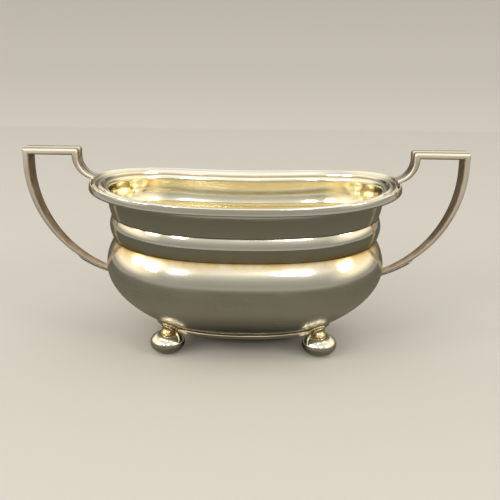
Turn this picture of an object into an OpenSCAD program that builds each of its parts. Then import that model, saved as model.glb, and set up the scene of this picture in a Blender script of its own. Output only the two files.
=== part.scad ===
// Oblong silver sugar bowl: boat-shaped moulded rim, convex band round the neck,
// swelling belly, two angular strap handles and four ball feet.
// Millimetres. Z is up, X runs along the handles, and the origin lies on the
// surface that the bowl stands on, under its centre.

/* [Rim] */
// Half length of the mouth over the rim moulding
rim_a = 71.5; // [68:0.5:74]
// Half width of the mouth over the rim moulding
rim_b = 42; // [39:0.5:46]
// Height of the moulding's underside at the middle of a long side
rim_z = 71.5; // [70:0.5:74]
// How much the rim rises at both ends
rim_rise = 4; // [3:0.2:4.6]

/* [Body] */
// Half length at the widest part of the belly
belly_a = 65; // [63:0.5:67]
// Half width at the widest part of the belly
belly_b = 35.6; // [34:0.2:37]
// Height of the widest part of the belly
belly_z = 34.5; // [33:0.1:36]
// Rise of the widest line at both ends
belly_rise = 4.4; // [3.4:0.2:5]
// Half length of the oval base
base_a = 40.5; // [38:0.5:43]
// Half width of the oval base
base_b = 24.6; // [23:0.2:26]
// Height of the edge where the belly meets the base
base_z = 11.5; // [10.8:0.1:12]
// Thickness of the silver sheet
sheet_t = 0.9; // [0.8:0.05:1.1]

/* [Handles] */
// Half of the overall length over both handles
handle_x = 101; // [99:0.5:104]
// Height of the top bar's upper face
handle_z = 92.4; // [91.8:0.2:93]
// Width of the strap at the top
strap_w = 10.4; // [9:0.2:12]
// Width of the strap where it meets the belly
strap_end_w = 4; // [3:0.2:6]
// Thickness of the strap at the top
strap_t = 2.7; // [2.3:0.1:3]
// Thickness of the strap where it meets the belly
strap_end_t = 1.3; // [1:0.1:1.6]

/* [Feet] */
// Distance of each foot from the middle, along X
foot_x = 35.3; // [34:0.1:36]
// Distance of each foot from the middle, along Y
foot_y = 18.3; // [17.5:0.1:19]
// Radius of a ball foot
ball_r = 8.05; // [7.6:0.05:8.2]
// Half height of a ball foot before its worn flat
ball_c = 5.2; // [5:0.1:5.4]
// Radius of the worn flat under a ball
flat_r = 1.6; // [1:0.1:2]

/* [Hidden] */
SIDES = ["left", "right"];
FEET = [["front_left", -1, -1], ["front_right", 1, -1], ["back_left", -1, 1], ["back_right", 1, 1]];

silver = [0.82, 0.81, 0.78];
gilt = [0.86, 0.68, 0.38];

// Points round one plan outline
around = 64;
// Power of the plan outline across the width, and along the length at the wall and at the base
plan_q = 2.05;
wall_p = 3.6;
base_p = 2.25;

// Insets from the rim's outer edge: neck top, waist of the neck, crease under the neck,
// fullest part of the band, groove under the band
neck_top_inset = 8.1;
// Gilt lip where the inside flares out over the neck: its inset, and its height over the rim's foot
lip_inset = 7.8;
lip_h = 0.7;
neck_low_inset = 9.7;
band_inset = 8.6;
groove_inset = 10.4;
// Heights of the same places, below the middle of a long side of the rim
neck_top_z = rim_z - 1.6;
crease_z = rim_z - 12.5;
band_z = rim_z - 17.3;
groove_z = rim_z - 23.8;
// Share of a quarter ellipse that the lower belly follows
belly_turn = 0.84;

// Power of the band's swelling, above and below its fullest part
band_p = 1.7;

// Bead along the rim's outer edge: radius, inset and height of its centre over the rim's underside
bead_r = 0.42;
bead_i = 0.75;
bead_h = 2.8;
rim_top = rim_z + rim_rise + bead_h + bead_r;
// Rounded parts of the rim's section: inset, height over its underside, half width, half height
bead = [bead_i, bead_h, bead_r, bead_r];
cove = [7, 1.5, 0.85, 1.05];
inner_reed = [5.3, 1.5, 0.8, 0.8];
outer_reed = [2.75, 1.8, 0.6, 0.7];
// Channels on either side of the outer reed: inset and height
channels = [[4, 1.45], [1.8, 1.8]];
// Height where the rim's face starts, and the power of its lean below the bead
face_z = 0.2;
face_p = 1.6;
// Underside of the rim's edge, from the face inwards
edge_under = [[0.4, -0.2], [1.3, 0.4]];

// Handle arc: radius and centre of the strap's inner face
arc_r = 52;
arc_x = handle_x - strap_t - arc_r;
arc_z = handle_z - 8.3;
// Inner top corner, and the scroll's face towards the finger: part of an ellipse that turns
// from the corner down onto the rim's bead
corner_x = 75.9;
scroll_rx = 10.9;
scroll_x = corner_x + strap_t - scroll_rx;
scroll_z = handle_z - strap_t - 0.3;
scroll_touch = 75;
scroll_rz = (scroll_z - rim_top + 0.15) / sin(scroll_touch);
scroll_end = 80;
// Angle along the arc where the tongue starts, and the tongue's thickness
tongue_start = 51;
tongue_t = 1.1;
// Depth of the groove along the strap's middle as a share of its thickness, the share of the
// scroll's length that has none, and the radius of its corner with the bar
groove_depth = 0.32;
scroll_plain = 0.45;
corner_r = 1.5;
inner_z = handle_z - strap_t;

// Base ring: how far it stands out, its height, the width of its ledge, how far its face
// leans in, and the radii of its upper and lower edges
ring_w = 1.1;
ring_h = 2.2;
ledge_w = 0.6;
ring_lean = 0.2;
top_soft = 0.4;
low_soft = 0.5;

// Centre of a foot's pad, and its radius and thickness
pad_x = foot_x - 0.7;
pad_y = foot_y - 1.3;
pad_r = 5.4;
pad_t = 1.6;
pad_edge_t = 0.8;
ball_z = ball_c * sqrt(1 - pow(flat_r / ball_r, 2));
// Radii of the neck where it leaves the ball, at its waist and under the plate
neck_r = 3.1;
waist_r = 2.7;
flare_r = 3.8;
// Share of the neck's height at which its waist lies
waist_at = 0.4;
neck_z = ball_z + ball_c * sqrt(1 - pow(neck_r / ball_r, 2));

function mix(a, b, t) = a + (b - a) * t;
function power(v, e) = sign(v) * pow(abs(v), e);

// A station is [half length, half width, plan power, height, rise at the ends].
// Its outline is |x/a|^p + |y/b|^q = 1, lifted towards the ends by the rise.
function outline(s) = [for (j = [0:around - 1])
    let (t = 360 * j / around, u = power(cos(t), 2 / s[2]))
    [s[0] * u, s[1] * power(sin(t), 2 / plan_q), s[3] + s[4] * u * u]];
function inset_station(inset, z) = [rim_a - inset, rim_b - inset, wall_p, z, rim_rise];

// Belly: a shallow curve from the groove to the widest line, then part of a
// quarter ellipse down to the base. t runs from 0 to 1 in each.
function upper_belly(t) = let (r = pow(1 - t, 2)) [
    mix(belly_a, rim_a - groove_inset, r), mix(belly_b, rim_b - groove_inset, r), wall_p,
    mix(groove_z, belly_z, t), mix(belly_rise, rim_rise, r)];
function lower_share(t) = let (low = sqrt(1 - pow(belly_turn, 2)))
    (sqrt(1 - pow(belly_turn * t, 2)) - low) / (1 - low);
function lower_belly(t) = let (w = lower_share(t)) [
    mix(base_a, belly_a, w), mix(base_b, belly_b, w), mix(base_p, wall_p, w),
    mix(belly_z, base_z, t), belly_rise * w];
belly_outer = concat([for (k = [0:3]) upper_belly(k / 4)], [for (k = [0:9]) lower_belly(k / 9)]);

// Neck and band, from the top down to the groove
function neck(t) = inset_station(
    mix(neck_top_inset, neck_low_inset, pow(t, 2.5)), mix(neck_top_z, crease_z, t));
// The band at a share of the way from its fullest part to an edge
function band(t, edge_inset, edge_z) = inset_station(
    mix(band_inset, edge_inset, pow(t, band_p)), mix(band_z, edge_z, t));
collar_outer = concat([for (k = [0:4]) neck(k / 4)],
    [for (k = [2:-1:0]) band(k / 3, neck_low_inset, crease_z)],
    [for (k = [1:4]) band(k / 4, groove_inset, groove_z)]);

// The same wall one sheet further in, square to its profile. Its two ends stay level.
function inner_station(list, i) =
    let (last = len(list) - 1, s = list[i], up = list[max(i - 1, 0)], down = list[min(i + 1, last)],
        flat = i == 0 || i == last, dz = down[3] - up[3], da = down[0] - up[0], db = down[1] - up[1],
        la = norm([da, dz]), lb = norm([db, dz]))
    flat ? [s[0] - sheet_t, s[1] - sheet_t, s[2], s[3], s[4]]
        : [s[0] + sheet_t * dz / la, s[1] + sheet_t * dz / lb, s[2], s[3] - sheet_t * da / la, s[4]];
function wall(list) = concat(list, [for (i = [len(list) - 1:-1:0]) inner_station(list, i)]);

// Height of the belly's underside at a place inside its outline, found by halving
function outside(x, y, s) = pow(abs(x) / s[0], s[2]) + pow(abs(y) / s[1], plan_q) > 1;
function belly_share(x, y, lo = 0, hi = 1, n = 24) = n == 0 ? lo
    : let (m = (lo + hi) / 2) outside(x, y, lower_belly(m))
        ? belly_share(x, y, lo, m, n - 1) : belly_share(x, y, m, hi, n - 1);
function belly_under(x, y) = let (s = lower_belly(belly_share(x, y))) s[3] + s[4] * pow(x / s[0], 2);

// Half length of the lower belly at a height on its end
function end_share(z, lo = 0, hi = 1, n = 24) = n == 0 ? lo
    : let (m = (lo + hi) / 2, s = lower_belly(m)) s[3] + s[4] < z
        ? end_share(z, lo, m, n - 1) : end_share(z, m, hi, n - 1);
function belly_end(z) = lower_belly(end_share(z))[0];

// Closed ring swept through a loop of stations, outer side downwards
module ring_loft(stations) {
    m = len(stations);
    points = [for (s = stations) each outline(s)];
    faces = [for (i = [0:m - 1], j = [0:around - 1])
        let (k = (i + 1) % m, l = (j + 1) % around,
            a = i * around + j, b = i * around + l, c = k * around + l, d = k * around + j)
        each [[a, b, c], [a, c, d]]];
    polyhedron(points, faces, convexity = 10);
}

// Solid through a list of closed rings of points, each counter-clockwise seen from the far
// end. Each end is closed by a fan from its middle.
function middle(ring) = [for (axis = [0:2]) let (v = [for (p = ring) p[axis]]) (min(v) + max(v)) / 2];
module sweep(rings) {
    n = len(rings[0]);
    m = len(rings);
    sides = [for (i = [0:m - 2], j = [0:n - 1])
        let (l = (j + 1) % n, a = i * n + j, b = i * n + l, c = (i + 1) * n + l, d = (i + 1) * n + j)
        each [[a, d, c], [a, c, b]]];
    start = [for (j = [0:n - 1]) [m * n, j, (j + 1) % n]];
    end = [for (j = [0:n - 1]) [m * n + 1, (m - 1) * n + (j + 1) % n, (m - 1) * n + j]];
    points = concat([for (r = rings) each r], [middle(rings[0]), middle(rings[m - 1])]);
    polyhedron(points, concat(sides, start, end), convexity = 10);
}

// ---- Body ----

module belly_shell() {
    color(silver) ring_loft(wall(belly_outer));
}

module collar() {
    color(silver) ring_loft(wall(collar_outer));
}

// Section points round part of an ellipse given as [inset, height, half width, half height]
function arc_points(s, a0, a1, n) = [for (k = [0:n])
    let (a = mix(a0, a1, k / n)) [s[0] - s[2] * cos(a), s[1] + s[3] * sin(a)]];

module rim_moulding() {
    foot = neck_top_z - rim_z;
    flare = arc_points([lip_inset, foot, neck_top_inset + sheet_t - lip_inset, lip_h - foot], 180, 90, 3);
    reeds = concat(arc_points(inner_reed, 150, 30, 2), [channels[0]],
        arc_points(outer_reed, 150, 30, 2), [channels[1]]);
    face = [for (k = [2:-1:0]) [(bead_i - bead_r) * pow(k / 3, face_p), mix(face_z, bead_h, k / 3)]];
    throat = [[neck_top_inset - 1.8, 0], [neck_top_inset - 0.5, -0.6], [neck_top_inset, foot]];
    section = concat(flare, arc_points(cove, -120, -30, 2), reeds, arc_points(bead, 150, 0, 3), face,
        edge_under, throat);
    color(silver) ring_loft([for (p = section) inset_station(p[0], rim_z + p[1])]);
}

// Oval plate that closes the bottom of the belly, its rim resting inside the base ring
module base_plate() {
    a = base_a - sheet_t;
    b = base_b - sheet_t;
    color(gilt) translate([0, 0, base_z - sheet_t]) linear_extrude(sheet_t)
        polygon([for (p = outline([a, b, base_p, 0, 0])) [p[0], p[1]]]);
}

// Moulding under the belly's edge, its corners rounded, with a ledge inside that the base plate lies on
module base_ring() {
    top_edge = arc_points([top_soft - ring_w, -top_soft, top_soft, top_soft], 90, 0, 2);
    low_edge = arc_points([low_soft + ring_lean - ring_w, low_soft - ring_h, low_soft, low_soft], 0, -90, 2);
    ledge = sheet_t + ledge_w;
    inner = [[ledge, -ring_h], [ledge, -sheet_t], [sheet_t, -sheet_t], [sheet_t, 0]];
    section = concat(top_edge, low_edge, inner);
    color(silver) ring_loft([for (p = section) [base_a - p[0], base_b - p[0], base_p, base_z + p[1], 0]]);
}

// ---- Handles: modelled on the right, mirrored for the left ----

// Half of the strap's outer face as [across, out], both as shares: a soft edge, then a reed
// that rounds down into a groove of the given depth
function reed(depth) = [[1, 0.72], [0.95, 0.92], [0.84, 1], [0.5, 1], [0.3, 1 - depth * 0.13],
    [0.15, 1 - depth * 0.34], [0.05, 1 - depth * 0.6]];
// Strap section as [across, out]: flat inside, two reeds with a groove between them outside
function strap_section(depth) = let (half = reed(depth), last = len(half) - 1)
    concat([[-1, 0], [1, 0]], half, [[0, 1 - depth]], [for (k = [last:-1:0]) [-half[k][0], half[k][1]]]);

// One ring of the strap: a place on its inner face, the outward direction, the run direction,
// and how far the outer face leads the inner one along the run
function strap_ring(place, out, run, w, t, depth, lead = 0) = [for (p = strap_section(depth))
    [place[0] + (out[0] + run[0] * lead) * p[1] * t, p[0] * w / 2,
        place[1] + (out[1] + run[1] * lead) * p[1] * t]];

// Ring in the rounded corner between scroll and bar, from 0 at the scroll to 90 at the bar
function corner_ring(a) = let (shift = (a - 45) / 150,
        inner = [corner_x + strap_t + max(0, shift), inner_z + min(0, shift)],
        outer = [corner_x + corner_r * (1 - cos(a)), handle_z - corner_r * (1 - sin(a))])
    strap_ring(inner, (outer - inner) / strap_t, [0, 0], strap_w, strap_t, groove_depth);

module handle_bar(side) {
    right = strap_ring([handle_x - strap_t, inner_z], [0, 1], [1, 0], strap_w, strap_t, groove_depth, 1);
    color(silver) scale_side(side) sweep([corner_ring(45), corner_ring(90), right]);
}

function arc_place(a, out = 0) = [arc_x + (arc_r + out) * cos(a), arc_z - (arc_r + out) * sin(a)];
// The arc ends where it meets the belly, close to this angle
arc_guess = 69;
arc_end = acos((belly_end(arc_z - arc_r * sin(arc_guess)) - arc_x) / arc_r);
function arc_width(a) = mix(strap_w, strap_end_w, a / arc_end);
function arc_thickness(a) = mix(strap_t, strap_end_t, a / arc_end);
function arc_depth(a) = groove_depth * max(0, 1 - a / tongue_start);

// Moves a ring's points along the arm's last direction until they lie on the belly
function on_belly(ring) = [for (p = ring)
    let (move = (p[0] - belly_end(p[2]) + 0.03) / sin(arc_end))
    [p[0] - move * sin(arc_end), p[1], p[2] - move * cos(arc_end)]];

module handle_arm(side) {
    top = strap_ring([handle_x - strap_t, inner_z], [1, 0], [0, -1], strap_w, strap_t, groove_depth, -1);
    arc = [for (k = [0:13]) let (a = arc_end * k / 14)
        strap_ring(arc_place(a), [cos(a), -sin(a)], [-sin(a), -cos(a)], arc_width(a), arc_thickness(a),
            arc_depth(a))];
    foot = on_belly(strap_ring(arc_place(arc_end), [cos(arc_end), -sin(arc_end)], [0, 0], strap_end_w,
        strap_end_t, 0));
    color(silver) scale_side(side) sweep(concat([top], arc, [foot]));
}

// Tongue section, a low bar with rounded shoulders
tongue_section = [[-1, 0], [1, 0], [1, 0.5], [0.7, 1], [-0.7, 1], [-1, 0.5]];
function tongue_ring(a, w, t) = [for (p = tongue_section)
    let (q = arc_place(a, arc_thickness(a) + p[1] * t)) [q[0], p[0] * w / 2, q[1]]];

module handle_tongue(side) {
    rings = [for (k = [0:6]) let (a = mix(tongue_start, arc_end, k / 6), grow = min(1, 0.35 + k / 3))
        tongue_ring(a, (arc_width(a) - 0.6) * min(1, 0.5 + k / 3), tongue_t * grow)];
    last = on_belly(rings[6]);
    color(silver) scale_side(side) sweep(concat([for (k = [0:5]) rings[k]], [last]));
}

function scroll_depth(t) = groove_depth * max(0, (t - scroll_plain) / (1 - scroll_plain));
module handle_scroll(side) {
    curve = [for (k = [0:8]) let (t = k / 8, a = mix(scroll_end, 0, t))
        strap_ring([scroll_x + scroll_rx * cos(a), scroll_z - scroll_rz * sin(a)], [-cos(a), sin(a)],
            [0, 0], strap_w * mix(0.8, 1, t), strap_t * mix(0.5, 1, t), scroll_depth(t))];
    color(silver) scale_side(side) sweep(concat(curve, [corner_ring(22.5), corner_ring(45)]));
}

module scale_side(side) {
    mirror([side < 0 ? 1 : 0, 0, 0]) children();
}

// ---- Feet: modelled in the +X, -Y corner and mirrored to the others ----

module foot_corner(sx, sy) {
    mirror([sx < 0 ? 1 : 0, 0, 0]) mirror([0, sy > 0 ? 1 : 0, 0]) children();
}

pad_around = 24;
function pad_ring(r, drop) = [for (j = [0:pad_around - 1])
    let (t = 360 * j / pad_around, x = pad_x + r * cos(t), y = -pad_y + r * sin(t))
    [x, y, belly_under(x, y) - drop]];
function pad_drop(r) = mix(pad_t, pad_edge_t, pow(r / pad_r, 4));

// Round pad, its top against the belly
module foot_plate(sx, sy) {
    radii = [0.5, 2.5, 4.5];
    under = [for (r = radii) pad_ring(r, pad_drop(r))];
    edge = [pad_ring(pad_r, pad_drop(pad_r)), pad_ring(pad_r, 0)];
    rings = concat(under, edge, [for (k = [2:-1:0]) pad_ring(radii[k], 0)]);
    color(silver) foot_corner(sx, sy) sweep(rings);
}

// Concave stem from the top of the ball to the underside of the pad, narrowest at its waist
function neck_radius(t) = t < waist_at ? mix(neck_r, waist_r, t / waist_at)
    : mix(waist_r, flare_r, pow((t - waist_at) / (1 - waist_at), 2));
module foot_neck(sx, sy) {
    top = pad_ring(flare_r, pad_drop(flare_r));
    rings = [for (k = [0:5])
        let (t = k / 5, r = neck_radius(t))
        [for (j = [0:pad_around - 1]) let (a = 360 * j / pad_around)
            [mix(foot_x, pad_x, t) + r * cos(a), mix(-foot_y, -pad_y, t) + r * sin(a),
                mix(neck_z, top[j][2], t)]]];
    color(silver) foot_corner(sx, sy) sweep(rings);
}

// Quarter section of the hollow ball between two angles above its widest line
function ball_arc(r, c, a0, a1, n) = [for (k = [0:n])
    let (a = mix(a0, a1, k / n)) [r * cos(a), c * sin(a)]];

module ball_half(section) {
    color(silver) translate([foot_x, -foot_y, ball_z]) rotate_extrude($fn = 48) polygon(section);
}

module foot_upper(sx, sy) {
    open = acos(neck_r / ball_r);
    foot_corner(sx, sy) ball_half(concat([[0, neck_z - ball_z]],
        ball_arc(ball_r, ball_c, open, 0, 9),
        ball_arc(ball_r - sheet_t, ball_c - sheet_t, 0, 90, 8)));
}

module foot_lower(sx, sy) {
    worn = -acos(flat_r / ball_r);
    foot_corner(sx, sy) ball_half(concat([[0, -ball_z]],
        ball_arc(ball_r, ball_c, worn, 0, 9),
        ball_arc(ball_r - sheet_t, ball_c - sheet_t, 0, -90, 8)));
}

belly_shell();
collar();
rim_moulding();
base_plate();
base_ring();
for (i = [0, 1]) {
    side = 2 * i - 1;
    handle_bar(side);
    handle_arm(side);
    handle_scroll(side);
    handle_tongue(side);
}
for (f = FEET) {
    foot_plate(f[1], f[2]);
    foot_neck(f[1], f[2]);
    foot_upper(f[1], f[2]);
    foot_lower(f[1], f[2]);
}
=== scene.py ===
"""Oblong silver sugar bowl with a gilt inside, two angular strap handles and four ball feet.

Shapes are worked out in millimetres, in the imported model's frame: Z up, X along the handles,
and the origin on the floor under the bowl's centre. They become metres as each mesh is made.
"""
import math

import bmesh
import bpy
import numpy as np
from mathutils import Matrix, Vector


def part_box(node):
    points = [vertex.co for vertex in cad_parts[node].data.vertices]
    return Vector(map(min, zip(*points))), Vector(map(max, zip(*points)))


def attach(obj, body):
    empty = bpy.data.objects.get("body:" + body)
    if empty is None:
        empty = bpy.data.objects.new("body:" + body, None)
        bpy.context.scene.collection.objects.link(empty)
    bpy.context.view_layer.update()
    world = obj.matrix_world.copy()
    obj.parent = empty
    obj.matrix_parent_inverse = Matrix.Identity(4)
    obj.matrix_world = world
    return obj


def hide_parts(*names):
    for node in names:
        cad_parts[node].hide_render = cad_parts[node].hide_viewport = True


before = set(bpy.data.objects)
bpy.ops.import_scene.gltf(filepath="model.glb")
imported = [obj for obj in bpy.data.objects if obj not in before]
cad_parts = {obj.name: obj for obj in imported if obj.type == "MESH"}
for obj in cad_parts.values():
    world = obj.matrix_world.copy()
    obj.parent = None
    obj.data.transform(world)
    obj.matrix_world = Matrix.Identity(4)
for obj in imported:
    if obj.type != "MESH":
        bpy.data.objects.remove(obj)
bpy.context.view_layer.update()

MM = 0.001


def span(node):
    """Lowest and highest corner of a CAD node, in millimetres."""
    low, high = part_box(node)
    return np.array(low) / MM, np.array(high) / MM


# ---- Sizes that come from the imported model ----
# a is a half length along X and b a half width along Y
rim_a, rim_b, rim_top = span("rim_moulding")[1]
belly_a, belly_b, _ = span("belly_shell")[1]
handle_x, _, _ = span("right_handle_arm")[1]
_, strap_half, handle_z = span("right_handle_bar")[1]
ball_low, ball_high = span("foot_front_right_lower")
foot_x, foot_y = (ball_low + ball_high)[:2] * 0.5 * (1, -1)
ball_r = (ball_high - ball_low)[0] / 2
ball_z = ball_high[2]
base_z = span("base_plate")[1][2]

# ---- Sizes that the design fixes ----
sheet_t = 0.9
base_a = span("base_plate")[1][0] + sheet_t
base_b = span("base_plate")[1][1] + sheet_t

# Powers of the plan outline: across the width, and along the length at the wall and at the base
plan_q = 2.05
wall_p = 3.6
base_p = 2.25

# Bead along the rim's edge: radius, inset and height of its centre over the rim's underside
bead_r = 0.42
bead_i = 0.75
bead_h = 2.8
bead = (bead_i, bead_h, bead_r, bead_r)
rim_rise = 4.0
rim_z = rim_top - rim_rise - bead_h - bead_r
# Other rounded parts of the rim's section: inset, height, half width, half height
cove = (7.0, 1.5, 0.85, 1.05)
inner_reed = (5.3, 1.5, 0.8, 0.8)
outer_reed = (2.75, 1.8, 0.6, 0.7)
# Channels on either side of the outer reed: inset and height
channels = ((4.0, 1.45), (1.8, 1.8))
# Height where the rim's face starts, and the power of its lean below the bead
face_z = 0.2
face_p = 1.6
# Underside of the rim's edge, from the face inwards
edge_under = [(0.05, 0.0), (0.18, -0.14), (0.4, -0.2), (0.62, -0.14), (1.3, 0.4)]

# Wall: insets from the rim's edge, and heights, of the gilt lip, the neck, the crease under
# the neck, the band's fullest part and the groove under the band
neck_top_inset = 8.1
lip_inset = 7.8
lip_h = 0.7
neck_low_inset = 9.7
band_inset = 8.6
groove_inset = 10.4
neck_top_z = rim_z - 1.6
crease_z = rim_z - 12.5
band_z = rim_z - 17.3
groove_z = rim_z - 23.8
# Power of the band's swelling, above and below its fullest part
band_p = 1.7

# Belly: its widest line, how much that rises at both ends, and the share of a quarter
# ellipse that it follows down to the base
belly_z = 34.5
belly_rise = 4.4
belly_turn = 0.84

# Strap: width and thickness at the top and at the belly, the groove between its reeds as a
# share of the thickness, and the share of the scroll that has no groove
strap_w = 2 * strap_half
strap_end_w = 4.0
strap_t = 2.7
strap_end_t = 1.3
groove_depth = 0.32
scroll_plain = 0.45
# Shares of the strap's half width that its worn edge and its groove take up, how far the
# edge falls as a share of the thickness, and how soft the inner edges are at most
edge_share = 0.16
groove_share = 0.6
edge_fall = 0.28
inner_soft = 0.8

# Arm: radius and centre of the arc of its inner face, and about where the arc meets the belly
inner_z = handle_z - strap_t
arc_r = 52.0
arc_x = handle_x - strap_t - arc_r
arc_z = handle_z - 8.3
arc_guess = 69.0
# Scroll: part of an ellipse from the rounded corner at the bar down onto the rim's bead, the
# angle where it touches the bead, how far it is sunk there, and the angle where it ends
corner_r = 1.5
corner_x = 75.9
scroll_rx = 10.9
scroll_x = corner_x + strap_t - scroll_rx
scroll_z = inner_z - 0.3
scroll_touch = 75.0
scroll_sink = 0.15
scroll_rz = (scroll_z - rim_top + scroll_sink) / math.sin(math.radians(scroll_touch))
scroll_end = 80.0
# Angle between scroll and bar at which the corner is parted, and how slowly the corner's
# inner point moves with the angle, in degrees per millimetre
part_angle = 45
inner_turn = 150
# Angle along the arc where the tongue starts, and the tongue's thickness
tongue_start = 51.0
tongue_t = 1.1

# Base ring: how far it stands out, its height, its ledge, its lean and its rounded edges
ring_w = 1.1
ring_h = 2.2
ledge_w = 0.6
ring_lean = 0.2
top_soft = 0.4
low_soft = 0.5

# Feet: the ball's worn flat and half height, the pad, and the neck's radii at the ball, at
# its waist and under the pad, with the share of its height at which the waist lies
flat_r = 1.6
ball_c = ball_z / math.sqrt(1 - (flat_r / ball_r) ** 2)
pad_x = foot_x - 0.7
pad_y = foot_y - 1.3
pad_r = 5.4
pad_t = 1.6
pad_edge_t = 0.8
neck_r = 3.1
waist_r = 2.7
flare_r = 3.8
waist_at = 0.4
neck_z = ball_z + ball_c * math.sqrt(1 - (neck_r / ball_r) ** 2)

# Points round the plan outline of the bowl, and round a foot
AROUND = 320
FOOT_AROUND = 64
# Edges look sharp from the first angle on, and are rounded from the second, in degrees
SHARP_ANGLE = 32
BEVEL_ANGLE = 40

# Colour of the painted shade in creases and seams, and how far stain and wear roughen the metal
SHADE_COLOUR = (0.035, 0.026, 0.014)
STAIN_ROUGHNESS = 0.14
WEAR_ROUGHNESS = 0.20
# Three ways that fine scratches run: stretch and turn of their noise
SCRATCHES = (
    ((0.05, 1, 1), (0.2, 0.1, 0.3)),
    ((1, 0.08, 0.6), (0.1, 0.5, -0.4)),
    ((0.9, 1, 0.05), (0.5, 0.2, 0.1)))


# ---- Materials ----
def node(tree, kind, **values):
    """A new shader node with the given input values or settings."""
    made = tree.nodes.new(kind)
    for key, value in values.items():
        if key in made.inputs:
            made.inputs[key].default_value = value
        else:
            setattr(made, key, value)
    return made


def mapped_noise(tree, coords, scale, stretch, detail=3.0, roughness=0.55, rotation=(0, 0, 0)):
    """Noise from 0 to 1. The scale is about the number of spots in a metre."""
    mapping = node(tree, "ShaderNodeMapping", Scale=stretch, Rotation=rotation)
    noise = node(tree, "ShaderNodeTexNoise", Scale=scale, Detail=detail, Roughness=roughness)
    tree.links.new(coords, mapping.inputs["Vector"])
    tree.links.new(mapping.outputs["Vector"], noise.inputs["Vector"])
    return noise.outputs["Fac"]


def ramp(tree, value, stops):
    made = tree.nodes.new("ShaderNodeValToRGB")
    elements = made.color_ramp.elements
    while len(elements) < len(stops):
        elements.new(0.5)
    for element, (place, colour) in zip(elements, stops):
        element.position = place
        element.color = (*colour, 1)
    tree.links.new(value, made.inputs["Fac"])
    return made.outputs["Color"]


def remap(tree, value, low, high, to_low, to_high):
    made = node(tree, "ShaderNodeMapRange", **{
        "From Min": low, "From Max": high, "To Min": to_low, "To Max": to_high})
    tree.links.new(value, made.inputs["Value"])
    return made.outputs["Result"]


def maths(tree, operation, first, second):
    made = tree.nodes.new("ShaderNodeMath")
    made.operation = operation
    for socket, value in zip(made.inputs, (first, second)):
        if isinstance(value, (int, float)):
            socket.default_value = value
        else:
            tree.links.new(value, socket)
    return made.outputs["Value"]


def blend(tree, share, first, second):
    made = tree.nodes.new("ShaderNodeMix")
    made.data_type = "RGBA"
    tree.links.new(share, made.inputs["Factor"])
    for socket, value in ((made.inputs[6], first), (made.inputs[7], second)):
        if isinstance(value, tuple):
            socket.default_value = (*value, 1)
        else:
            tree.links.new(value, socket)
    return made.outputs[2]


def metal(name, clean, pale, stain, roughness_range, scratch):
    """Polished old metal: uneven colour, stain and painted shade where the mesh says so, haze and fine
    scratches.
    """
    material = bpy.data.materials.new(name)
    material.use_nodes = True
    tree = material.node_tree
    shader = tree.nodes["Principled BSDF"]
    shader.inputs["Metallic"].default_value = 1.0
    coords = tree.nodes.new("ShaderNodeTexCoord").outputs["Object"]

    clouds = mapped_noise(tree, coords, 22.0, (1, 1, 1.6), detail=4.0)
    colour = blend(tree, remap(tree, clouds, 0.35, 0.7, 0.0, 1.0), clean, pale)
    stained = node(tree, "ShaderNodeAttribute", attribute_name="stain").outputs["Fac"]
    patches = mapped_noise(tree, coords, 160.0, (1, 1, 1), detail=3.0)
    uneven = maths(tree, "MULTIPLY", stained, remap(tree, patches, 0.3, 0.7, 0.55, 1.0))
    colour = blend(tree, uneven, colour, stain)
    # Painted shade: the mesh's mark darkens creases, grooves and seams to near black
    painted_shade = node(tree, "ShaderNodeAttribute", attribute_name="painted_shade").outputs["Fac"]
    colour = blend(tree, painted_shade, colour, SHADE_COLOUR)
    tree.links.new(colour, shader.inputs["Base Color"])

    haze = mapped_noise(tree, coords, 55.0, (1, 1, 1.4), detail=5.0, roughness=0.6)
    roughness = remap(tree, haze, 0.3, 0.72, *roughness_range)
    roughness = maths(tree, "ADD", roughness, maths(tree, "MULTIPLY", uneven, STAIN_ROUGHNESS))
    worn = node(tree, "ShaderNodeAttribute", attribute_name="haze").outputs["Fac"]
    roughness = maths(tree, "ADD", roughness, maths(tree, "MULTIPLY", worn, WEAR_ROUGHNESS))
    tree.links.new(roughness, shader.inputs["Roughness"])

    lines = [mapped_noise(tree, coords, 420.0, stretch, detail=2.0, rotation=turn)
             for stretch, turn in SCRATCHES]
    wiping = maths(tree, "ADD", maths(tree, "ADD", lines[0], lines[1]), lines[2])
    hammer = mapped_noise(tree, coords, 26.0, (1, 1, 1), detail=1.0)
    fine = node(tree, "ShaderNodeBump", Strength=scratch, Distance=0.00002)
    broad = node(tree, "ShaderNodeBump", Strength=0.25, Distance=0.00028)
    tree.links.new(hammer, broad.inputs["Height"])
    tree.links.new(wiping, fine.inputs["Height"])
    tree.links.new(broad.outputs["Normal"], fine.inputs["Normal"])
    tree.links.new(fine.outputs["Normal"], shader.inputs["Normal"])
    return material


silver = metal(
    "polished_silver", clean=(0.88, 0.84, 0.71), pale=(0.93, 0.90, 0.80), stain=(0.60, 0.44, 0.19),
    roughness_range=(0.065, 0.13), scratch=0.35)
handled = metal(
    "handled_silver", clean=(0.90, 0.80, 0.66), pale=(0.94, 0.87, 0.77), stain=(0.33, 0.22, 0.09),
    roughness_range=(0.14, 0.26), scratch=0.45)
tarnished = metal(
    "tarnished_silver", clean=(0.80, 0.64, 0.34), pale=(0.86, 0.76, 0.52), stain=(0.45, 0.30, 0.12),
    roughness_range=(0.14, 0.26), scratch=0.45)
gilding = metal(
    "worn_gilding", clean=(0.95, 0.87, 0.64), pale=(0.95, 0.91, 0.79), stain=(0.72, 0.50, 0.20),
    roughness_range=(0.09, 0.18), scratch=0.35)


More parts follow.
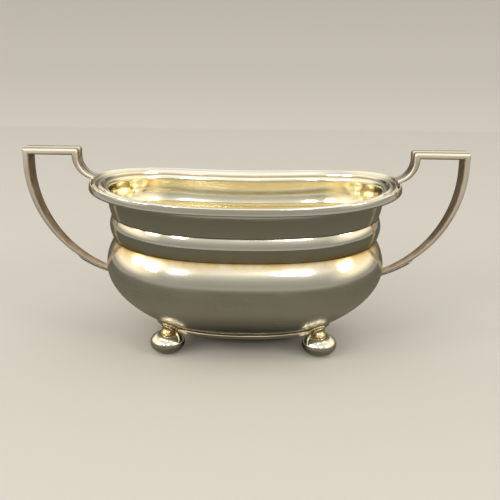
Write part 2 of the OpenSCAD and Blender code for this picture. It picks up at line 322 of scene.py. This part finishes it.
# ---- Mesh building ----
def make_piece(name, points, faces, material, nodes, marks, bevel=0.0):
    """One closed piece of the bowl, facing outwards, standing for the named CAD nodes."""
    mesh = bpy.data.meshes.new(name)
    mesh.from_pydata((np.asarray(points) * MM).tolist(), [], faces)
    mesh.validate()
    shape = bmesh.new()
    shape.from_mesh(mesh)
    if shape.calc_volume(signed=True) < 0:
        mesh.flip_normals()
    shape.free()
    for mark in ("stain", "painted_shade", "haze"):
        attribute = mesh.attributes.new(mark, "FLOAT", "POINT")
        attribute.data.foreach_set("value", np.asarray(marks.get(mark, np.zeros(len(points))), float))
    mesh.materials.append(material)
    mesh.shade_smooth()
    mesh.set_sharp_from_angle(angle=math.radians(SHARP_ANGLE))
    piece = bpy.data.objects.new(name, mesh)
    bpy.context.scene.collection.objects.link(piece)
    if bevel:
        rounding = piece.modifiers.new("worn_edges", "BEVEL")
        rounding.width = bevel * MM
        rounding.segments = 2
        rounding.limit_method = "ANGLE"
        rounding.angle_limit = math.radians(BEVEL_ANGLE)
        rounding.harden_normals = True
    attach(piece, "root")
    if nodes:
        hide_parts(*nodes)


def even_angles(count):
    """Angles whose points lie evenly along the rim's outline."""
    fine = np.linspace(0, 2 * math.pi, 40001)
    x, y = superellipse(fine, wall_p)
    run = np.concatenate([[0], np.cumsum(np.hypot(np.diff(x * rim_a), np.diff(y * rim_b)))])
    return np.interp(np.arange(count) * run[-1] / count, run, fine)


def power(value, exponent):
    return np.sign(value) * np.abs(value) ** exponent


def superellipse(angle, p):
    return power(np.cos(angle), 2 / p), power(np.sin(angle), 2 / plan_q)


ANGLES = even_angles(AROUND)


def outline(station):
    """Points of a station: half length, half width, plan power, height, rise at the ends."""
    a, b, p, z, rise = station
    x, y = superellipse(ANGLES, p)
    return np.column_stack([a * x, b * y, z + rise * x * x])


def loop_faces(rows, count, closed):
    """Quads between rows of points, each row a closed ring."""
    last = rows if closed else rows - 1
    faces = []
    for i in range(last):
        k = (i + 1) % rows
        for j in range(count):
            nxt = (j + 1) % count
            faces.append((i * count + j, i * count + nxt, k * count + nxt, k * count + j))
    return faces


def ring_piece(name, stations, nodes, marks):
    """A ring swept round the plan through a closed loop of stations, outer side downwards."""
    points = np.concatenate([outline(s) for s in stations])
    faces = loop_faces(len(stations), AROUND, True)
    spread = {mark: np.repeat(values, AROUND) for mark, values in marks.items()}
    make_piece(name, points, faces, silver, nodes, spread)


def sweep_piece(name, rings, nodes, marks, material=silver, bevel=0.0):
    """A solid through rings of points; a fan from its middle closes each end. Marks are per ring,
    or per ring and point."""
    rings = [np.asarray(r, float) for r in rings]
    count = len(rings[0])
    rows = len(rings)
    ends = [[(ring.min(axis=0) + ring.max(axis=0)) / 2] for ring in (rings[0], rings[-1])]
    points = np.concatenate(rings + ends)
    faces = [(a, d, c, b) for a, b, c, d in loop_faces(rows, count, False)]
    first = rows * count
    faces += [(first, j, (j + 1) % count) for j in range(count)]
    start = (rows - 1) * count
    faces += [(first + 1, start + (j + 1) % count, start + j) for j in range(count)]
    spread = {}
    for mark, values in marks.items():
        table = np.asarray(values, float)
        table = table if table.ndim == 2 else np.repeat(table[:, None], count, axis=1)
        spread[mark] = np.concatenate([table.ravel(), [table[0, 0], table[-1, 0]]])
    make_piece(name, points, faces, material, nodes, spread, bevel)


def mix(a, b, t):
    return a + (b - a) * t


# ---- Bowl: the wall's profile ----
def inset_station(inset, z):
    """A station of the wall at an inset from the rim's edge and a height."""
    return (rim_a - inset, rim_b - inset, wall_p, z, rim_rise)


def upper_belly(t):
    """A shallow curve from the groove at 0 to the widest line at 1."""
    r = (1 - t) ** 2
    return (mix(belly_a, rim_a - groove_inset, r), mix(belly_b, rim_b - groove_inset, r), wall_p,
            mix(groove_z, belly_z, t), mix(belly_rise, rim_rise, r))


def lower_belly(t):
    """Part of a quarter ellipse from the widest line at 0 to the base at 1."""
    low = math.sqrt(1 - belly_turn ** 2)
    w = (math.sqrt(1 - (belly_turn * t) ** 2) - low) / (1 - low)
    return (mix(base_a, belly_a, w), mix(base_b, belly_b, w), mix(base_p, wall_p, w),
            mix(belly_z, base_z, t), belly_rise * w)


def neck(t):
    """The neck from under the rim at 0 to the crease at 1, hollowing more and more."""
    return inset_station(mix(neck_top_inset, neck_low_inset, t ** 2.5), mix(neck_top_z, crease_z, t))


def band(t, edge_inset, edge_z):
    """The band's profile at a share of the way from its fullest part to one of its edges."""
    return inset_station(mix(band_inset, edge_inset, t ** band_p), mix(band_z, edge_z, t))


def inner_stations(outer, depth):
    """The same wall further in, square to its profile. Its two ends stay level."""
    s = np.array(outer)
    up = s[np.maximum(np.arange(len(s)) - 1, 0)]
    down = s[np.minimum(np.arange(len(s)) + 1, len(s) - 1)]
    dz = down[:, 3] - up[:, 3]
    da = down[:, 0] - up[:, 0]
    db = down[:, 1] - up[:, 1]
    la = np.hypot(da, dz)
    lb = np.hypot(db, dz)
    made = s.copy()
    made[:, 0] += depth * dz / la
    made[:, 1] += depth * dz / lb
    made[:, 3] -= depth * da / la
    for i in (0, -1):
        made[i] = s[i]
        made[i, :2] -= depth
    return [tuple(row) for row in made]


def near(stations, place, reach, strength):
    """How stained each station is: most at a height, none past reach from it."""
    z = np.array([s[3] for s in stations])
    return strength * np.clip(1 - np.abs(z - place) / reach, 0, 1) ** 2


belly_outer = [upper_belly(k / 14) for k in range(14)] + [lower_belly(k / 44) for k in range(45)]
collar_outer = [neck(k / 16) for k in range(16)]
collar_outer += [band(k / 20, neck_low_inset, crease_z) for k in range(20, 0, -1)]
collar_outer += [band(k / 20, groove_inset, groove_z) for k in range(21)]


def both(values):
    """Marks of an outer surface, followed by clean marks for the inner one."""
    return np.concatenate([values, np.zeros(len(values))])


def make_bowl():
    """The two strips of the wall: stained along their seams with painted shade in them, and duller low
    down.
    """
    # Height, reach and strength of the marks along each seam
    stained = ((groove_z, 7.5, 1.3), (crease_z, 1.2, 0.5), (base_z, 2.0, 0.6))
    # Painted shade as dark lines in the groove, in the crease and at the base
    shaded = ((groove_z, 0.4, 0.5), (crease_z, 0.45, 0.8), (base_z, 0.5, 1.0))
    haze_top = belly_z + 8
    haze_fade = 10
    for name, outer in (("belly_shell", belly_outer), ("collar", collar_outer)):
        stain = np.max([near(outer, *seam) for seam in stained], axis=0)
        painted_shade = np.max([near(outer, *seam) for seam in shaded], axis=0)
        heights = np.array([s[3] for s in outer])
        haze = np.clip((haze_top - heights) / haze_fade, 0, 1)
        marks = {"stain": both(stain), "painted_shade": both(painted_shade), "haze": both(haze)}
        ring_piece(name + "_silver", outer + inner_stations(outer, sheet_t)[::-1], [name], marks)


def make_gilding():
    """The thin gilt skin over the whole inside, most of its thickness sunk in the silver."""
    raised, sunk, smallest = 0.04, 0.06, 0.3
    skin = []
    for outer in (collar_outer, belly_outer):
        skin += inner_stations(outer, sheet_t)
    skin = [inset_station(i, rim_z + h) for i, h in lip_flare(12)[:0:-1]] + skin
    half_length, half_width, edge_p = skin[-1][:3]
    skin += [(half_length * share, half_width * share, edge_p, base_z, 0.0)
             for share in (0.985, 0.9, 0.75, 0.6, 0.45, 0.3, 0.15, 0.02)]
    s = np.array(skin)
    tangent = np.gradient(s[:, [0, 3]], axis=0)
    tangent /= np.linalg.norm(tangent, axis=1)[:, None]

    def moved(depth):
        out = s.copy()
        out[:, 0] += depth * tangent[:, 1]
        out[:, 1] += depth * tangent[:, 1]
        out[:, 3] -= depth * tangent[:, 0]
        out[:, :2] = np.maximum(out[:, :2], smallest)
        return [tuple(row) for row in out]

    front, back = moved(raised), moved(-sunk)
    rings = [outline(st) for st in front[::-1] + back]
    stain = near(skin, groove_z, 1.4, 0.5)
    marks = {"stain": np.concatenate([stain[::-1], stain])}
    sweep_piece("bowl_gilding", rings, [], marks, gilding)


def arc_points(ellipse, start, end, steps):
    """Section points round part of an ellipse: inset, height, half width, half height."""
    inset, height, across, up = ellipse
    angles = np.radians(np.linspace(start, end, steps + 1))
    return [(inset - across * math.cos(a), height + up * math.sin(a)) for a in angles]


def lip_flare(steps):
    """The rim's inner edge, from the top of the neck out and up to the lip."""
    foot = neck_top_z - rim_z
    flare = (lip_inset, foot, neck_top_inset + sheet_t - lip_inset, lip_h - foot)
    return arc_points(flare, 180, 90, steps)


def make_rim():
    """The moulding round the mouth, with stain and painted shade in the low parts of its section."""
    inner = lip_flare(12) + arc_points(cove, -120, -30, 12)
    reeds = arc_points(inner_reed, 160, 20, 10) + [channels[0]]
    reeds += arc_points(outer_reed, 160, 20, 8) + [channels[1]]
    face = [((bead_i - bead_r) * t ** face_p, mix(face_z, bead_h, t)) for t in np.linspace(0.92, 0, 12)]
    throat = [(neck_top_inset - 1.8, 0), (neck_top_inset - 0.5, -0.6), (neck_top_inset, neck_top_z - rim_z)]
    section = inner + reeds + arc_points(bead, 160, 0, 10) + face + edge_under + throat
    stations = [inset_station(i, rim_z + h) for i, h in section]
    edge_inset, channel_top = 1.4, 1.75
    low = np.array([edge_inset < i < lip_inset and h < channel_top for i, h in section])
    marks = {"stain": low * 0.7, "painted_shade": low * 0.45}
    ring_piece("rim_moulding_silver", stations, ["rim_moulding"], marks)


def make_base():
    """The oval plate in the bottom, a hair under the gilding, and the wire round it."""
    under_gilding = 0.02
    a, b = base_a - sheet_t, base_b - sheet_t
    shares = (0.03, 0.25, 0.5, 0.75, 0.97, 1.0)
    plate = [(a * s, b * s, base_p, base_z - under_gilding, 0.0) for s in shares]
    plate += [(a * s, b * s, base_p, base_z - sheet_t, 0.0) for s in shares[::-1]]
    marks = {"stain": [0.25] * len(plate), "haze": [0.6] * len(plate)}
    sweep_piece("base_plate_silver", [outline(s) for s in plate], ["base_plate"], marks)

    top_edge = arc_points((top_soft - ring_w, -top_soft, top_soft, top_soft), 90, 0, 6)
    low_edge = arc_points((low_soft + ring_lean - ring_w, low_soft - ring_h, low_soft, low_soft), 0, -90, 6)
    ledge = sheet_t + ledge_w
    inner = [(ledge, -ring_h), (ledge, -sheet_t), (sheet_t, -sheet_t), (sheet_t, 0)]
    section = top_edge + low_edge + inner
    stations = [(base_a - i, base_b - i, base_p, base_z + h, 0.0) for i, h in section]
    count = len(section)
    # Painted shade over the whole wire, darkest along its top where it meets the bowl
    painted_shade = [0.5] * 2 + [0.3] * (count - 3) + [0.5]
    marks = {"stain": [0.35] * count, "painted_shade": painted_shade, "haze": [0.9] * count}
    ring_piece("base_ring_silver", stations, ["base_ring"], marks)


# ---- Handles ----
def reed_height(share, depth):
    """Height of the strap's outer face, at a share of the way from its middle to one edge."""
    edge = np.clip((share - 1 + edge_share) / edge_share, 0, 1)
    valley = np.clip((groove_share - share) / groove_share, 0, 1)
    return 1 - edge_fall * (1 - np.sqrt(1 - edge ** 2)) - depth * (1 - np.sqrt(1 - valley ** 2))


def strap_section(width, thick, depth):
    """Points of a strap's section as (across, out): worn inner edges, two reeds outside."""
    soft = min(inner_soft, thick / 3.2)
    half = width / 2
    corner = np.radians(np.linspace(0, 90, 6))
    left = [(-half + soft * 0.7 * (1 - math.sin(a)), soft - soft * math.cos(a)) for a in corner[::-1]]
    right = [(half - soft * 0.7 * (1 - math.sin(a)), soft - soft * math.cos(a)) for a in corner]
    shares = np.concatenate([1 - edge_share * (1 - np.cos(corner)),
                             groove_share * np.sin(np.radians(np.linspace(90, 0, 13)))])
    outer = [(half * s, thick * h) for s, h in zip(shares, reed_height(shares, depth))]
    return left + right + outer + [(-x, h) for x, h in outer[-2::-1]]


def strap_ring(place, out, run, width, thick, depth, lead=0.0):
    """A ring of the strap from a place on its inner face. Its outer face leads along the run."""
    section = np.array(strap_section(width, thick, depth))
    along = np.array(out, float) + np.array(run, float) * lead
    x = place[0] + along[0] * section[:, 1]
    z = place[1] + along[1] * section[:, 1]
    return np.column_stack([x, section[:, 0], z])


def belly_end(z):
    """Half length of the lower belly at a height on its end, by halving."""
    low, high = 0.0, 1.0
    for _ in range(40):
        middle = (low + high) / 2
        station = lower_belly(middle)
        if station[3] + station[4] < z:
            high = middle
        else:
            low = middle
    return lower_belly(low)[0]


meeting_z = arc_z - arc_r * math.sin(math.radians(arc_guess))
arc_end = math.degrees(math.acos((belly_end(meeting_z) - arc_x) / arc_r))


def arc_place(angle, out=0.0):
    a = math.radians(angle)
    return (arc_x + (arc_r + out) * math.cos(a), arc_z - (arc_r + out) * math.sin(a))


def arc_width(angle):
    return mix(strap_w, strap_end_w, angle / arc_end)


def arc_thickness(angle):
    return mix(strap_t, strap_end_t, angle / arc_end)


def on_belly(ring, sink):
    """Slides a ring along the arm's last direction until it lies a depth inside the belly."""
    a = math.radians(arc_end)
    ring = np.array(ring)
    for p in ring:
        move = (p[0] - belly_end(p[2]) + sink) / math.sin(a)
        p[0] -= move * math.sin(a)
        p[2] -= move * math.cos(a)
    return ring


def grown(ring, amount):
    """A ring pushed out from its middle, for a solder fillet."""
    ring = np.array(ring)
    away = ring - ring.mean(axis=0)
    return ring + amount * away / np.linalg.norm(away, axis=1)[:, None]


def sided(rings, side):
    return [np.asarray(r) * (side, 1, 1) for r in rings]


def strap_marks(rows):
    """A strap is stained inside, has painted shade in the groove between its reeds, and is dull along its
    sides.
    """
    section = np.array(strap_section(strap_w, strap_t, groove_depth))
    across = np.abs(section[:, 0]) * 2 / strap_w
    inside = section[:, 1] < strap_t / 4
    stain = np.where(inside & (across < 0.98), 0.95, 0.0)
    # Painted shade in the groove between the reeds
    painted_shade = np.where(~inside & (across < 0.08), 0.8, 0.0)
    haze = np.where(across > 0.9, 1.5, 0.3)
    return {mark: np.tile(values, (rows, 1)) for mark, values in
            (("stain", stain), ("painted_shade", painted_shade), ("haze", haze))}


def corner_ring(angle):
    """Ring in the rounded corner between scroll and bar, from 0 at the scroll to 90 at the bar."""
    a = math.radians(angle)
    shift = (angle - part_angle) / inner_turn
    inner = np.array([corner_x + strap_t + max(0, shift), inner_z + min(0, shift)])
    outer = np.array([corner_x + corner_r * (1 - math.cos(a)), handle_z - corner_r * (1 - math.sin(a))])
    return strap_ring(inner, (outer - inner) / strap_t, (0, 0), strap_w, strap_t, groove_depth)


def make_handle(side, name):
    """Bar, arm, scroll and tongue of the handle on one side: 1 for the right, -1 for the left."""
    def part(piece, rings, marks, bevel):
        node_name = f"{name}_{piece}"
        sweep_piece(node_name + "_silver", sided(rings, side), [node_name], marks, handled, bevel=bevel)

    worn_edge = 0.12
    full = (strap_w, strap_t, groove_depth)
    top_corner = (handle_x - strap_t, inner_z)
    bar = [corner_ring(a) for a in (45, 54, 63, 72, 81, 90)]
    bar.append(strap_ring(top_corner, (0, 1), (1, 0), *full, 1))
    part("bar", bar, strap_marks(len(bar)), bevel=worn_edge)

    steps = 60
    arm = [strap_ring(top_corner, (1, 0), (0, -1), *full, -1)]
    for k in range(steps):
        angle = arc_end * k / steps
        a = math.radians(angle)
        depth = groove_depth * max(0.0, 1 - angle / tongue_start)
        arm.append(strap_ring(arc_place(angle), (math.cos(a), -math.sin(a)), (0, 0),
                              arc_width(angle), arc_thickness(angle), depth))
    a = math.radians(arc_end)
    last = strap_ring(arc_place(arc_end), (math.cos(a), -math.sin(a)), (0, 0), strap_end_w, strap_end_t, 0)
    # The solder's fillet spreads the last rings: how far each is grown, and its depth in the belly
    fillet = ((0.0, -0.45), (0.12, -0.2), (0.4, 0.15))
    arm += [on_belly(grown(last, spread), depth) for spread, depth in fillet]
    part("arm", arm, strap_marks(len(arm)), bevel=worn_edge)

    scroll = []
    for k in range(30):
        t = k / 30
        a = math.radians(mix(scroll_end, 0, t))
        place = (scroll_x + scroll_rx * math.cos(a), scroll_z - scroll_rz * math.sin(a))
        depth = groove_depth * max(0.0, (t - scroll_plain) / (1 - scroll_plain))
        scroll.append(strap_ring(place, (-math.cos(a), math.sin(a)), (0, 0),
                                 strap_w * mix(0.8, 1, t), strap_t * mix(0.5, 1, t), depth))
    scroll += [corner_ring(a) for a in (0, 9, 18, 27, 36, 45)]
    part("scroll", scroll, strap_marks(len(scroll)), bevel=worn_edge)

    # The tongue is a low bar with rounded shoulders that swells from a thin, narrow tip
    section = [(-1, 0), (1, 0), (1, 0.45), (0.94, 0.7), (0.82, 0.9), (0.62, 1),
               (-0.62, 1), (-0.82, 0.9), (-0.94, 0.7), (-1, 0.45)]
    narrower = 0.6
    tongue = []
    for k in range(25):
        t = k / 24
        angle = mix(tongue_start, arc_end, t)
        grow = min(1.0, 0.3 + 2.8 * t)
        half = (arc_width(angle) - narrower) * min(1.0, 0.45 + 2.6 * t) / 2
        ring = []
        for across, up in section:
            x, z = arc_place(angle, arc_thickness(angle) + up * tongue_t * grow)
            ring.append((x, across * half, z))
        tongue.append(ring)
    tongue[-1] = on_belly(tongue[-1], 0.15)
    part("tongue", tongue, {"stain": [0.3] * len(tongue)}, bevel=0.15)


# ---- Feet ----
def belly_under(x, y):
    """Height of the belly's underside at a place inside its outline, by halving."""
    low, high = 0.0, 1.0
    for _ in range(30):
        middle = (low + high) / 2
        s = lower_belly(middle)
        if (abs(x) / s[0]) ** s[2] + (abs(y) / s[1]) ** plan_q > 1:
            high = middle
        else:
            low = middle
    s = lower_belly(low)
    return s[3] + s[4] * (x / s[0]) ** 2


def pad_drop(r):
    """How far the pad's underside lies below the belly at a distance from its middle."""
    return mix(pad_t, pad_edge_t, (r / pad_r) ** 4)


def disc_ring(centre, r, z):
    turns = np.arange(FOOT_AROUND) * 2 * math.pi / FOOT_AROUND
    return [(centre[0] + r * math.cos(t), centre[1] + r * math.sin(t), z) for t in turns]


def pad_ring(r, drop):
    """A ring about the pad's middle, at a depth under the belly's slope."""
    return [(x, y, belly_under(x, y) - drop) for x, y, _ in disc_ring((pad_x, -pad_y), r, 0)]


def make_foot(name, sx, sy):
    """Pad, neck and two ball halves of the foot on the side of X and Y that the signs give."""
    def part(piece, rings, marks, material=silver):
        placed = [np.asarray(r) * (sx, -sy, 1) for r in rings]
        sweep_piece(f"foot_{name}_{piece}_silver", placed, [f"foot_{name}_{piece}"], marks, material)

    # The pad's lower edge is softened by so much inwards and upwards, and its top bites the belly
    soft_in, soft_up, bite = 0.12, 0.2, 0.02
    radii = [0.5, 1.8, 3.2, 4.2, 4.8]
    rings = [pad_ring(r, pad_drop(r)) for r in radii]
    rings += [pad_ring(pad_r - soft_in, pad_edge_t), pad_ring(pad_r, pad_edge_t - soft_up)]
    rings += [pad_ring(r, -bite) for r in [pad_r] + radii[::-1]]
    # Painted shade where the pad's top meets the belly
    marks = {"stain": [0.5] * 5 + [0.1] * 3 + [0.3] * 5, "painted_shade": [0.0] * 7 + [0.3] + [0.0] * 5}
    part("plate", rings, marks)

    # Solder spreads the neck's top, and both its ends are sunk in their neighbours
    solder, sink = 0.5, 0.1
    top_r = flare_r + solder
    top = np.array(pad_ring(top_r, pad_drop(flare_r) - sink))
    stem = []
    for k in range(21):
        t = k / 20
        if t < waist_at:
            r = mix(neck_r, waist_r, math.sin(t / waist_at * math.pi / 2))
        else:
            r = mix(waist_r, top_r, ((t - waist_at) / (1 - waist_at)) ** 2.4)
        ring = np.array(disc_ring((mix(foot_x, pad_x, t), mix(-foot_y, -pad_y, t)), r, 0))
        ring[:, 2] = mix(neck_z - sink, top[:, 2], t)
        stem.append(ring)
    part("neck", stem, {"stain": [0.7] * 4 + [0.3] * 14 + [0.6] * 3}, tarnished)

    centre = (foot_x, -foot_y)
    hollow_r, hollow_c = ball_r - sheet_t, ball_c - sheet_t
    seam, tip_r = 0.05, 0.2
    opening = math.degrees(math.acos(neck_r / ball_r))
    worn = math.degrees(math.acos(flat_r / ball_r))
    for piece, lift, edge in (("upper", 1, opening), ("lower", -1, worn)):
        outer = [disc_ring(centre, ball_r * math.cos(a), ball_z + lift * ball_c * math.sin(a))
                 for a in np.radians(np.linspace(edge, 1.2, 24))]
        outer.append(disc_ring(centre, ball_r - seam, ball_z))
        hollow = [disc_ring(centre, hollow_r * math.cos(a), ball_z + lift * hollow_c * math.sin(a))
                  for a in np.radians(np.linspace(0, 89, 12))]
        cap = [disc_ring(centre, tip_r, outer[0][0][2])]
        stain = [0.4] * 4 + [0.05] * (len(outer) - 3) + [0.0] * 12
        # Painted shade along the seam between the ball's halves
        painted_shade = [0.0] * len(outer) + [0.5] + [0.0] * 12
        part(piece, cap + outer + hollow, {"stain": stain, "painted_shade": painted_shade})


make_bowl()
make_gilding()
make_rim()
make_base()
for side, side_name in ((-1, "left_handle"), (1, "right_handle")):
    make_handle(side, side_name)
for row, sy in (("front", -1), ("back", 1)):
    for column, sx in (("left", -1), ("right", 1)):
        make_foot(f"{row}_{column}", sx, sy)


# ---- Floor, light and camera ----
def plane(name, size, z, material):
    """A level square of the stage, in metres."""
    half = size / 2
    corners = [(-half, -half, z), (half, -half, z), (half, half, z), (-half, half, z)]
    mesh = bpy.data.meshes.new(name)
    mesh.from_pydata(corners, [], [(0, 1, 2, 3)])
    mesh.materials.append(material)
    made = bpy.data.objects.new(name, mesh)
    bpy.context.scene.collection.objects.link(made)
    return made


def matt(name, colour, roughness):
    material = bpy.data.materials.new(name)
    material.use_nodes = True
    shader = material.node_tree.nodes["Principled BSDF"]
    shader.inputs["Base Color"].default_value = (*colour, 1)
    shader.inputs["Roughness"].default_value = roughness
    return material


def graded(name, centre, stops):
    """Matt grey whose lightness depends on the distance from a place on the table; it paints shadow and
    light round that place.
    """
    material = matt(name, stops[-1][1], 0.9)
    tree = material.node_tree
    longer_along_x = (0.85, 1, 1)
    squashed = node(tree, "ShaderNodeMapping", Location=[-c for c in centre], Scale=longer_along_x)
    tree.links.new(node(tree, "ShaderNodeTexCoord").outputs["Object"], squashed.inputs["Vector"])
    distance = node(tree, "ShaderNodeVectorMath", operation="LENGTH")
    tree.links.new(squashed.outputs["Vector"], distance.inputs[0])
    far = stops[-1][0]
    share = maths(tree, "DIVIDE", distance.outputs["Value"], far)
    colour = ramp(tree, share, [(d / far, c) for d, c in stops])
    tree.links.new(colour, tree.nodes["Principled BSDF"].inputs["Base Color"])
    return material


def backdrop(name, material):
    """A pale wall that curves up out of the floor, far round the bowl, which only the camera sees."""
    profile = [(2.4, 0.001), (2.9, 0.02), (3.3, 0.12), (3.6, 0.35), (3.8, 0.75), (3.9, 1.4), (3.9, 3.0)]
    count = 96
    points = [(r * math.cos(t), r * math.sin(t), z) for r, z in profile
              for t in np.arange(count) * 2 * math.pi / count]
    mesh = bpy.data.meshes.new(name)
    mesh.from_pydata(points, [], [f[::-1] for f in loop_faces(len(profile), count, False)])
    mesh.materials.append(material)
    mesh.shade_smooth()
    made = bpy.data.objects.new(name, mesh)
    bpy.context.scene.collection.objects.link(made)
    made.visible_glossy = False
    made.visible_diffuse = False
    made.visible_shadow = False


pale = matt("pale_floor", (0.58, 0.568, 0.55), 0.8)
floor = plane("floor", 8.0, 0.0, pale)
floor.visible_glossy = False
backdrop("backdrop", pale)

# A card that only the silver sees, painted with light and shade: a painted shadow under the bowl, a painted
# pool of light round its feet, then grey.
# Each stop is a distance in metres from under the bowl, and a colour.
CARD_SHADOW_STOPS = (
    (0.0, (0.02, 0.02, 0.016)),
    (0.024, (0.05, 0.05, 0.04)),
    (0.036, (0.42, 0.425, 0.38)),
    (0.052, (0.86, 0.87, 0.79)),
    (0.09, (0.66, 0.67, 0.60)),
    (0.20, (0.50, 0.51, 0.455)),
    (0.30, (0.50, 0.51, 0.455)))
CARD_Y = 0.23
card = plane("reflection_card_painted_shadow", 1.0, 0.0, graded("card_painted_shadow", (0, -CARD_Y, 0), CARD_SHADOW_STOPS))
card.location.y = CARD_Y
card.visible_camera = False
card.visible_diffuse = False
card.visible_shadow = False

# What the lights face, and the colour of those to the sides
BOWL = (0, 0, 0.05)
CREAM = (1.0, 0.92, 0.76)


def soft_light(name, place, size, power, colour):
    """An area light that faces the bowl. Places and sizes in metres, power in watts."""
    data = bpy.data.lights.new(name, "AREA")
    data.shape = "RECTANGLE"
    data.size, data.size_y = size
    data.energy = power
    data.color = colour
    lamp = bpy.data.objects.new(name, data)
    lamp.location = place
    lamp.rotation_euler = (Vector(BOWL) - Vector(place)).to_track_quat("-Z", "Y").to_euler()
    bpy.context.scene.collection.objects.link(lamp)


soft_light("window_front", (0.28, -1.5, 0.84), (0.36, 0.16), 2.8, (1.0, 0.98, 0.94))
soft_light("window_front_left", (-0.50, -1.42, 0.72), (0.20, 0.12), 1.1, (1.0, 0.97, 0.90))
soft_light("window_left_near", (-0.95, -1.05, 0.75), (0.34, 0.42), 3.5, CREAM)
soft_light("window_left_far", (-1.25, -0.60, 0.75), (0.30, 0.42), 3, CREAM)
soft_light("window_right", (1.20, -0.85, 0.80), (0.45, 0.42), 4, CREAM)
soft_light("ceiling", (0.1, -0.2, 1.9), (1.6, 1.1), 5.5, (1.0, 0.98, 0.95))

# The room from straight down at 0 to straight up at 1
ROOM_STOPS = (
    (0.25, (0.40, 0.38, 0.34)),
    (0.46, (0.40, 0.38, 0.34)),
    (0.50, (0.30, 0.29, 0.26)),
    (0.60, (0.38, 0.375, 0.34)),
    (0.68, (0.62, 0.60, 0.54)),
    (0.73, (1.00, 0.97, 0.89)),
    (0.85, (0.95, 0.92, 0.85)),
    (1.0, (0.6, 0.58, 0.54)))
SIDE_COLOUR = (1.25, 1.12, 0.85)
FAR_LEFT_COLOUR = (0.09, 0.087, 0.075)
FAR_RIGHT_COLOUR = (0.24, 0.20, 0.13)


def make_world():
    """A room for the silver to show: pale high up and to both sides, dark low behind the bowl."""
    world = bpy.data.worlds.new("studio")
    world.use_nodes = True
    tree = world.node_tree
    way = node(tree, "ShaderNodeSeparateXYZ")
    tree.links.new(node(tree, "ShaderNodeTexCoord").outputs["Generated"], way.inputs["Vector"])
    height = remap(tree, way.outputs["Z"], -1.0, 1.0, 0.0, 1.0)
    room = ramp(tree, height, ROOM_STOPS)
    # Pale to the left and right, from just above the table
    across = maths(tree, "ABSOLUTE", way.outputs["X"], 0.0)
    beside = maths(tree, "MULTIPLY", remap(tree, across, 0.50, 0.85, 0.0, 1.0),
                   remap(tree, way.outputs["Z"], 0.02, 0.22, 0.0, 1.0))
    room = blend(tree, beside, room, SIDE_COLOUR)
    # Dark and low behind the bowl, fading out to the sides
    behind = maths(tree, "MULTIPLY", remap(tree, way.outputs["Y"], 0.0, 0.35, 0.0, 1.0),
                   remap(tree, across, 0.55, 0.85, 1.0, 0.0))
    low = remap(tree, way.outputs["Z"], 0.12, 0.36, 1.0, 0.0)
    rightwards = remap(tree, way.outputs["X"], 0.0, 0.2, 0.0, 1.0)
    far_wall = blend(tree, rightwards, FAR_LEFT_COLOUR, FAR_RIGHT_COLOUR)
    colour = blend(tree, maths(tree, "MULTIPLY", behind, low), room, far_wall)
    tree.links.new(colour, tree.nodes["Background"].inputs["Color"])
    bpy.context.scene.world = world


make_world()
bpy.context.scene.view_settings.view_transform = "Standard"

# Camera: its turn in radians, its place in millimetres, and its focal length as a share of
# the sensor's width
YAW, PITCH, ROLL = -0.0184, 0.3000, 0.0096
EYE = np.array([8.59, -335.25, 148.25])
FOCAL_SHARE = 1.48
forward = np.array([math.sin(YAW) * math.cos(PITCH), math.cos(YAW) * math.cos(PITCH), -math.sin(PITCH)])
level = np.array([math.cos(YAW), -math.sin(YAW), 0.0])
upward = np.cross(level, forward)
right = math.cos(ROLL) * level + math.sin(ROLL) * upward
up = -math.sin(ROLL) * level + math.cos(ROLL) * upward
camera_data = bpy.data.cameras.new("camera")
camera_data.lens = FOCAL_SHARE * camera_data.sensor_width
camera_data.clip_start = 0.01
camera = bpy.data.objects.new("camera", camera_data)
turn = Matrix((right, up, -forward)).transposed().to_4x4()
camera.matrix_world = Matrix.Translation(Vector(EYE * MM)) @ turn
bpy.context.scene.collection.objects.link(camera)
bpy.context.scene.camera = camera
